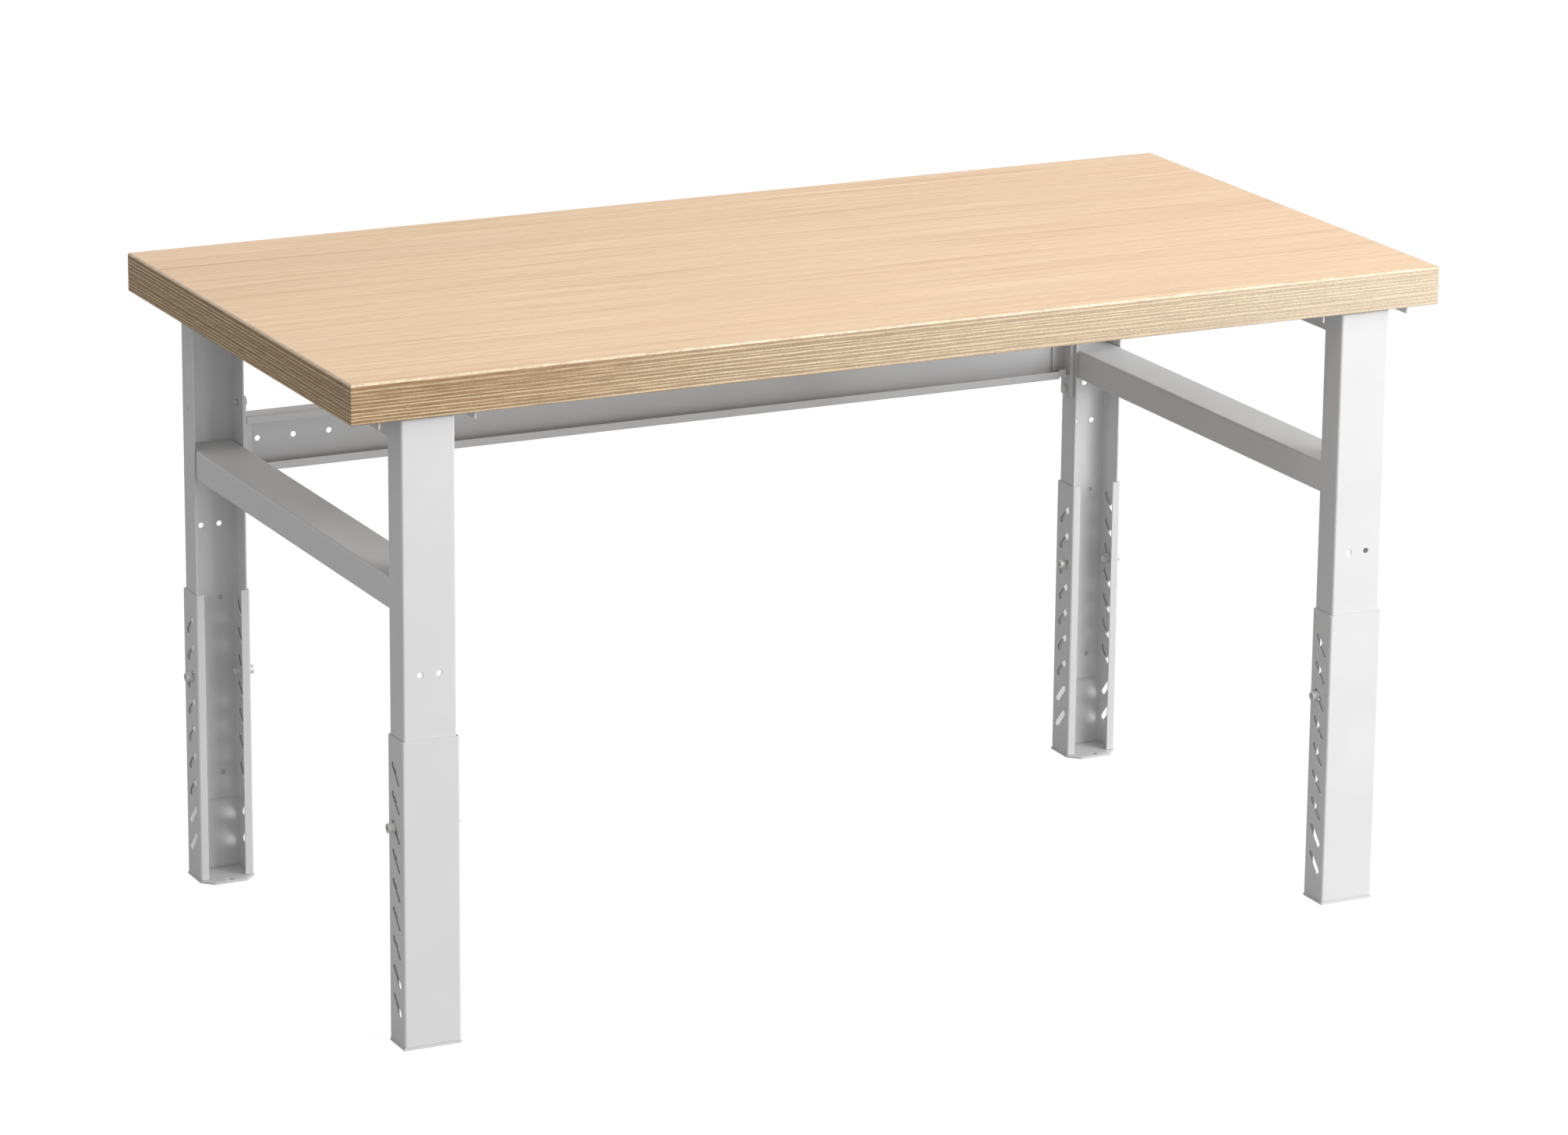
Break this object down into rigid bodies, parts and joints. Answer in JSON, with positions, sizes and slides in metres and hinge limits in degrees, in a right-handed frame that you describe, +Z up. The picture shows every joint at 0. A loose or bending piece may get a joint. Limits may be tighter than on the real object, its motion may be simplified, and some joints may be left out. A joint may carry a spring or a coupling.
{
  "type": "height-adjustable workbench",
  "caption": "Industrial workbench: thick laminated wood top on telescoping painted steel legs with slotted, bolt-clamped height adjustment, side crossbars and a rear beam.",
  "frame": {"origin": "on the floor, under the middle of the worktop", "axes": "+X to the right along the long side, +Y from the user to the back, +Z up"},
  "size_m": [1.5, 0.75, 0.845],
  "materials": {
    "paint": "light grey, satin powder coat",
    "zinc": "bright zinc plated",
    "wood": "pale oiled beech, satin"
  },
  "bodies": {
    "root": {"worktop": "wood", "rear_beam": "paint", "crossbar_left": "paint", "top_plate_left": "paint", "top_rail_left": "paint", "beam_bracket_left": "paint", "crossbar_right": "paint", "top_plate_right": "paint", "top_rail_right": "paint", "beam_bracket_right": "paint", "upper_leg_front_left": "paint", "upper_leg_front_right": "paint", "upper_leg_rear_left": "paint", "upper_leg_rear_right": "paint", "top_screw_left_1": "zinc", "top_screw_left_2": "zinc", "top_screw_left_3": "zinc", "top_screw_left_4": "zinc", "top_screw_right_1": "zinc", "top_screw_right_2": "zinc", "top_screw_right_3": "zinc", "top_screw_right_4": "zinc", "bracket_bolt_left_lower": "zinc", "bracket_nut_left_lower": "zinc", "bracket_bolt_left_upper": "zinc", "bracket_nut_left_upper": "zinc", "bracket_bolt_right_lower": "zinc", "bracket_nut_right_lower": "zinc", "bracket_bolt_right_upper": "zinc", "bracket_nut_right_upper": "zinc"},
    "leg_front_left": {"lower_sleeve_front_left": "paint", "foot_plate_front_left": "paint"},
    "clamp_front_left_outer": {"clamp_bolt_front_left_outer": "zinc", "clamp_nut_front_left_outer": "zinc"},
    "clamp_front_left_inner": {"clamp_bolt_front_left_inner": "zinc", "clamp_nut_front_left_inner": "zinc"},
    "leg_front_right": {"lower_sleeve_front_right": "paint", "foot_plate_front_right": "paint"},
    "clamp_front_right_outer": {"clamp_bolt_front_right_outer": "zinc", "clamp_nut_front_right_outer": "zinc"},
    "clamp_front_right_inner": {"clamp_bolt_front_right_inner": "zinc", "clamp_nut_front_right_inner": "zinc"},
    "leg_rear_left": {"lower_sleeve_rear_left": "paint", "foot_plate_rear_left": "paint"},
    "clamp_rear_left_outer": {"clamp_bolt_rear_left_outer": "zinc", "clamp_nut_rear_left_outer": "zinc"},
    "clamp_rear_left_inner": {"clamp_bolt_rear_left_inner": "zinc", "clamp_nut_rear_left_inner": "zinc"},
    "leg_rear_right": {"lower_sleeve_rear_right": "paint", "foot_plate_rear_right": "paint"},
    "clamp_rear_right_outer": {"clamp_bolt_rear_right_outer": "zinc", "clamp_nut_rear_right_outer": "zinc"},
    "clamp_rear_right_inner": {"clamp_bolt_rear_right_inner": "zinc", "clamp_nut_rear_right_inner": "zinc"}
  },
  "joints": [
    {"name": "leg_height_front_left", "type": "slide", "parent": "root", "child": "leg_front_left", "axis": [0, 0, -1], "range_m": [-0.028, 0.008]},
    {"name": "leg_height_front_right", "type": "slide", "parent": "root", "child": "leg_front_right", "axis": [0, 0, -1], "range_m": [-0.028, 0.008]},
    {"name": "leg_height_rear_left", "type": "slide", "parent": "root", "child": "leg_rear_left", "axis": [0, 0, -1], "range_m": [-0.028, 0.008]},
    {"name": "leg_height_rear_right", "type": "slide", "parent": "root", "child": "leg_rear_right", "axis": [0, 0, -1], "range_m": [-0.028, 0.008]},
    {"name": "clamp_travel_front_left_outer", "type": "slide", "parent": "root", "child": "clamp_front_left_outer", "axis": [0, 0.6656, -0.7463], "range_m": [-0.0188, 0.0054]},
    {"name": "clamp_travel_front_left_inner", "type": "slide", "parent": "root", "child": "clamp_front_left_inner", "axis": [0, 0.6656, -0.7463], "range_m": [-0.0188, 0.0054]},
    {"name": "clamp_travel_front_right_outer", "type": "slide", "parent": "root", "child": "clamp_front_right_outer", "axis": [0, 0.6656, -0.7463], "range_m": [-0.0188, 0.0054]},
    {"name": "clamp_travel_front_right_inner", "type": "slide", "parent": "root", "child": "clamp_front_right_inner", "axis": [0, 0.6656, -0.7463], "range_m": [-0.0188, 0.0054]},
    {"name": "clamp_travel_rear_left_outer", "type": "slide", "parent": "root", "child": "clamp_rear_left_outer", "axis": [0, -0.6656, -0.7463], "range_m": [-0.0188, 0.0054]},
    {"name": "clamp_travel_rear_left_inner", "type": "slide", "parent": "root", "child": "clamp_rear_left_inner", "axis": [0, -0.6656, -0.7463], "range_m": [-0.0188, 0.0054]},
    {"name": "clamp_travel_rear_right_outer", "type": "slide", "parent": "root", "child": "clamp_rear_right_outer", "axis": [0, -0.6656, -0.7463], "range_m": [-0.0188, 0.0054]},
    {"name": "clamp_travel_rear_right_inner", "type": "slide", "parent": "root", "child": "clamp_rear_right_inner", "axis": [0, -0.6656, -0.7463], "range_m": [-0.0188, 0.0054]}
  ],
  "couplings": [
    {"joint": "clamp_travel_front_left_outer", "follows": "leg_height_front_left", "ratio": 0.66998},
    {"joint": "clamp_travel_front_left_inner", "follows": "leg_height_front_left", "ratio": 0.66998},
    {"joint": "clamp_travel_front_right_outer", "follows": "leg_height_front_right", "ratio": 0.66998},
    {"joint": "clamp_travel_front_right_inner", "follows": "leg_height_front_right", "ratio": 0.66998},
    {"joint": "clamp_travel_rear_left_outer", "follows": "leg_height_rear_left", "ratio": 0.66998},
    {"joint": "clamp_travel_rear_left_inner", "follows": "leg_height_rear_left", "ratio": 0.66998},
    {"joint": "clamp_travel_rear_right_outer", "follows": "leg_height_rear_right", "ratio": 0.66998},
    {"joint": "clamp_travel_rear_right_inner", "follows": "leg_height_rear_right", "ratio": 0.66998}
  ]
}
